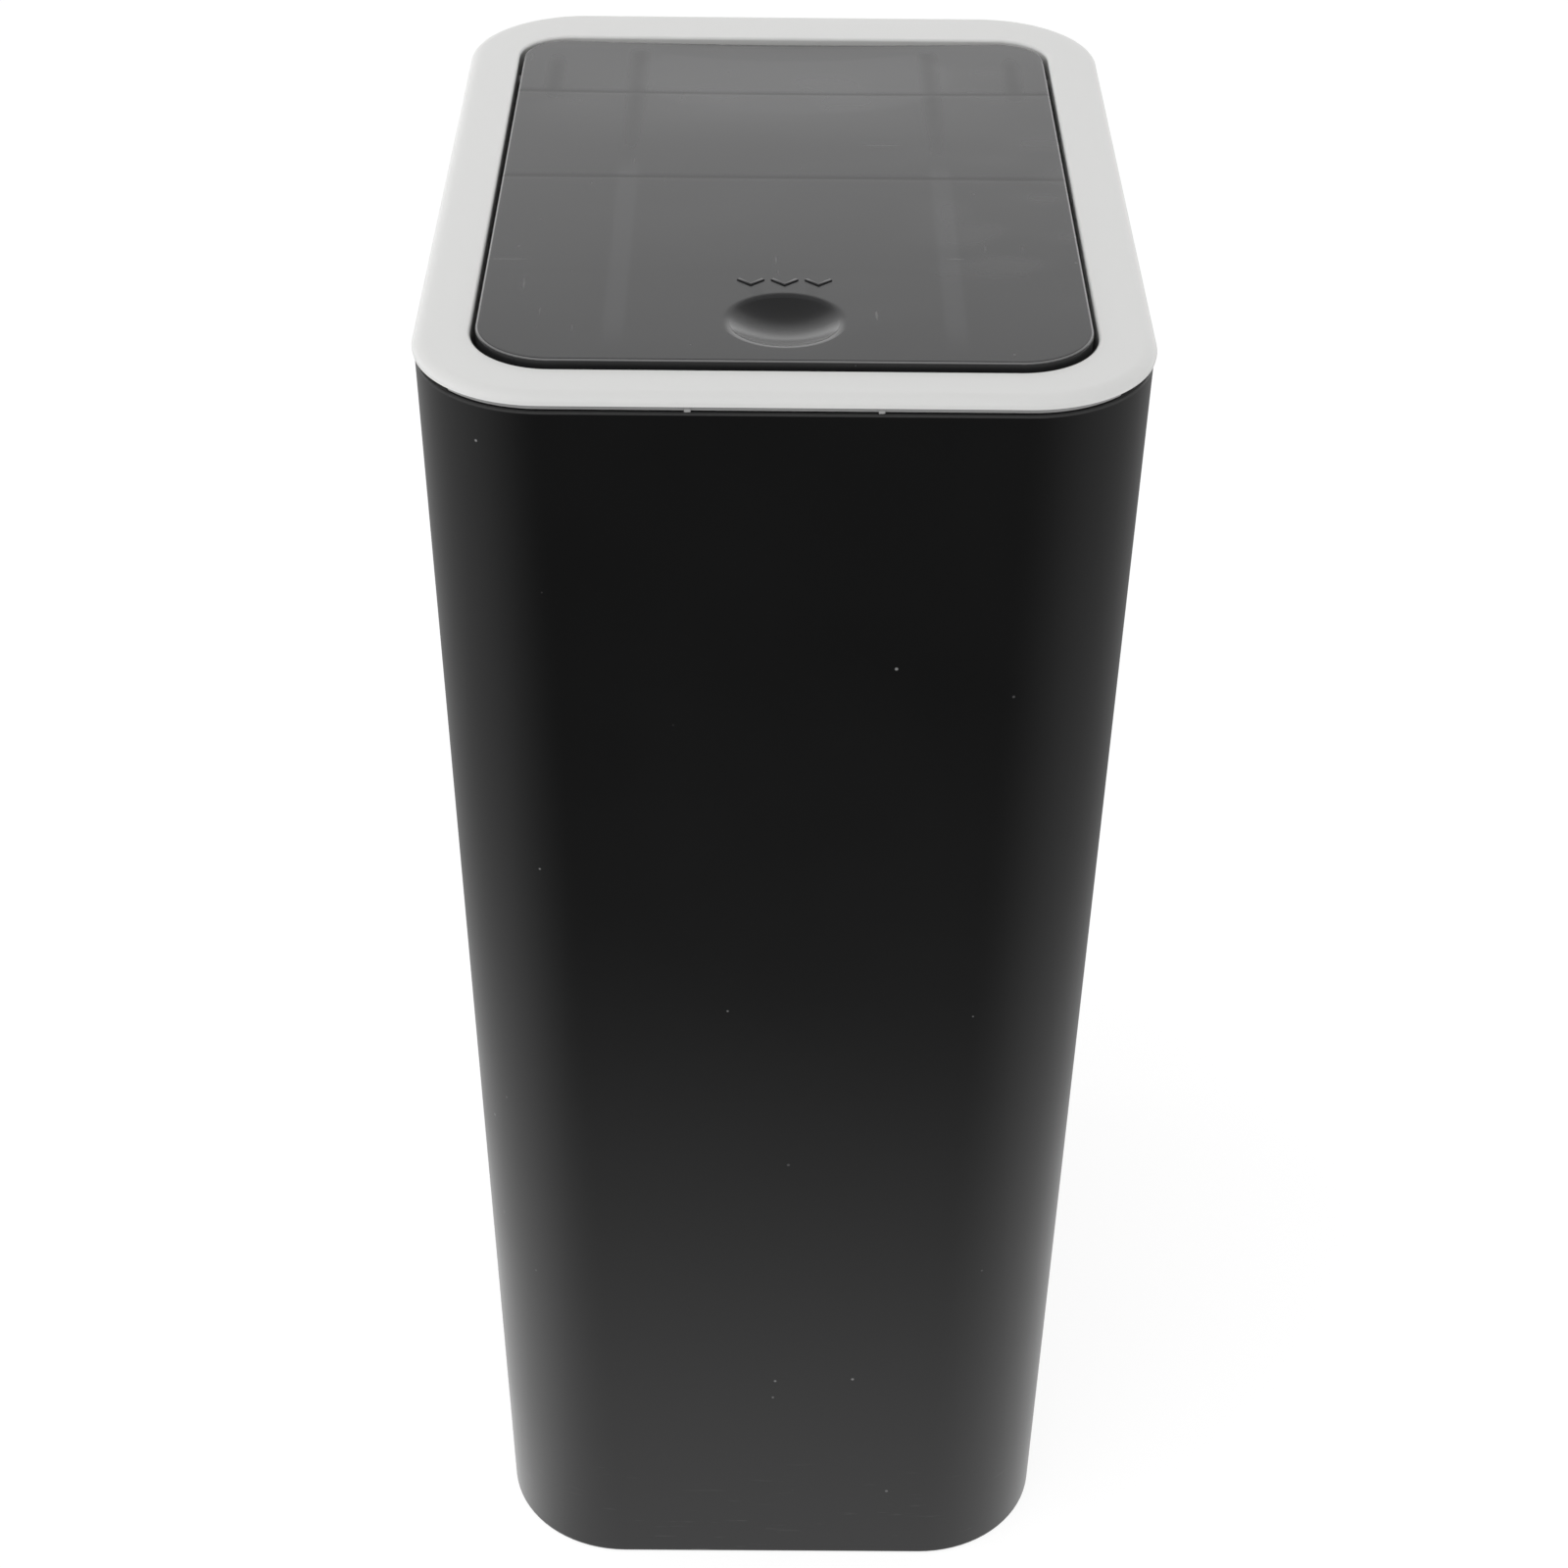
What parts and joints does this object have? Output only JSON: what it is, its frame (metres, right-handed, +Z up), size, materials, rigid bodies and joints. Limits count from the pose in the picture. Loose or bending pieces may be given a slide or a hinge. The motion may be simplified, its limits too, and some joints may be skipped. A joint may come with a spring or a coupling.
{
  "type": "push top bin",
  "caption": "Slim tapered waste bin with a lift-off rim, a hinged lid that opens by pressing its finger dimple, and a push latch under the dimple.",
  "frame": {"origin": "centre of the base, on the surface that the bin stands on", "axes": "+Z up, -Y to the front where the lid is pressed, +X to the right seen from the front"},
  "size_m": [0.15, 0.202, 0.3394],
  "materials": {
    "body_black": "satin moulded",
    "rim_white": "satin moulded",
    "lid_grey": "semi-gloss moulded",
    "latch_natural": "smooth moulded",
    "steel": "drawn wire, plated"
  },
  "bodies": {
    "bin": {"bin_body": "body_black"},
    "rim": {"rim_frame": "rim_white", "hinge_pin_left": "steel", "hinge_pin_right": "steel", "lid_spring_left": "steel", "lid_spring_right": "steel", "latch_housing": "latch_natural", "housing_screws": "steel"},
    "lid": {"lid_panel": "lid_grey", "latch_tongue": "latch_natural", "tongue_screws": "steel"},
    "catch": {"latch_catch": "steel"}
  },
  "joints": [
    {"name": "rim_lift", "type": "slide", "parent": "bin", "child": "rim", "axis": [0, 0, 1], "range_m": [0, 0.06]},
    {"name": "lid_hinge", "type": "hinge", "parent": "rim", "child": "lid", "pos_m": [0, 0.07, 0.3325], "axis": [-1, 0, 0], "range_deg": [-0.7, 85], "stiffness_Nm_per_rad": 0.031, "springref_deg": 80.21},
    {"name": "catch_swing", "type": "hinge", "parent": "rim", "child": "catch", "pos_m": [0, -0.07255, 0.30302], "axis": [0, 1, 0], "range_deg": [-6.1, 6.1]}
  ]
}
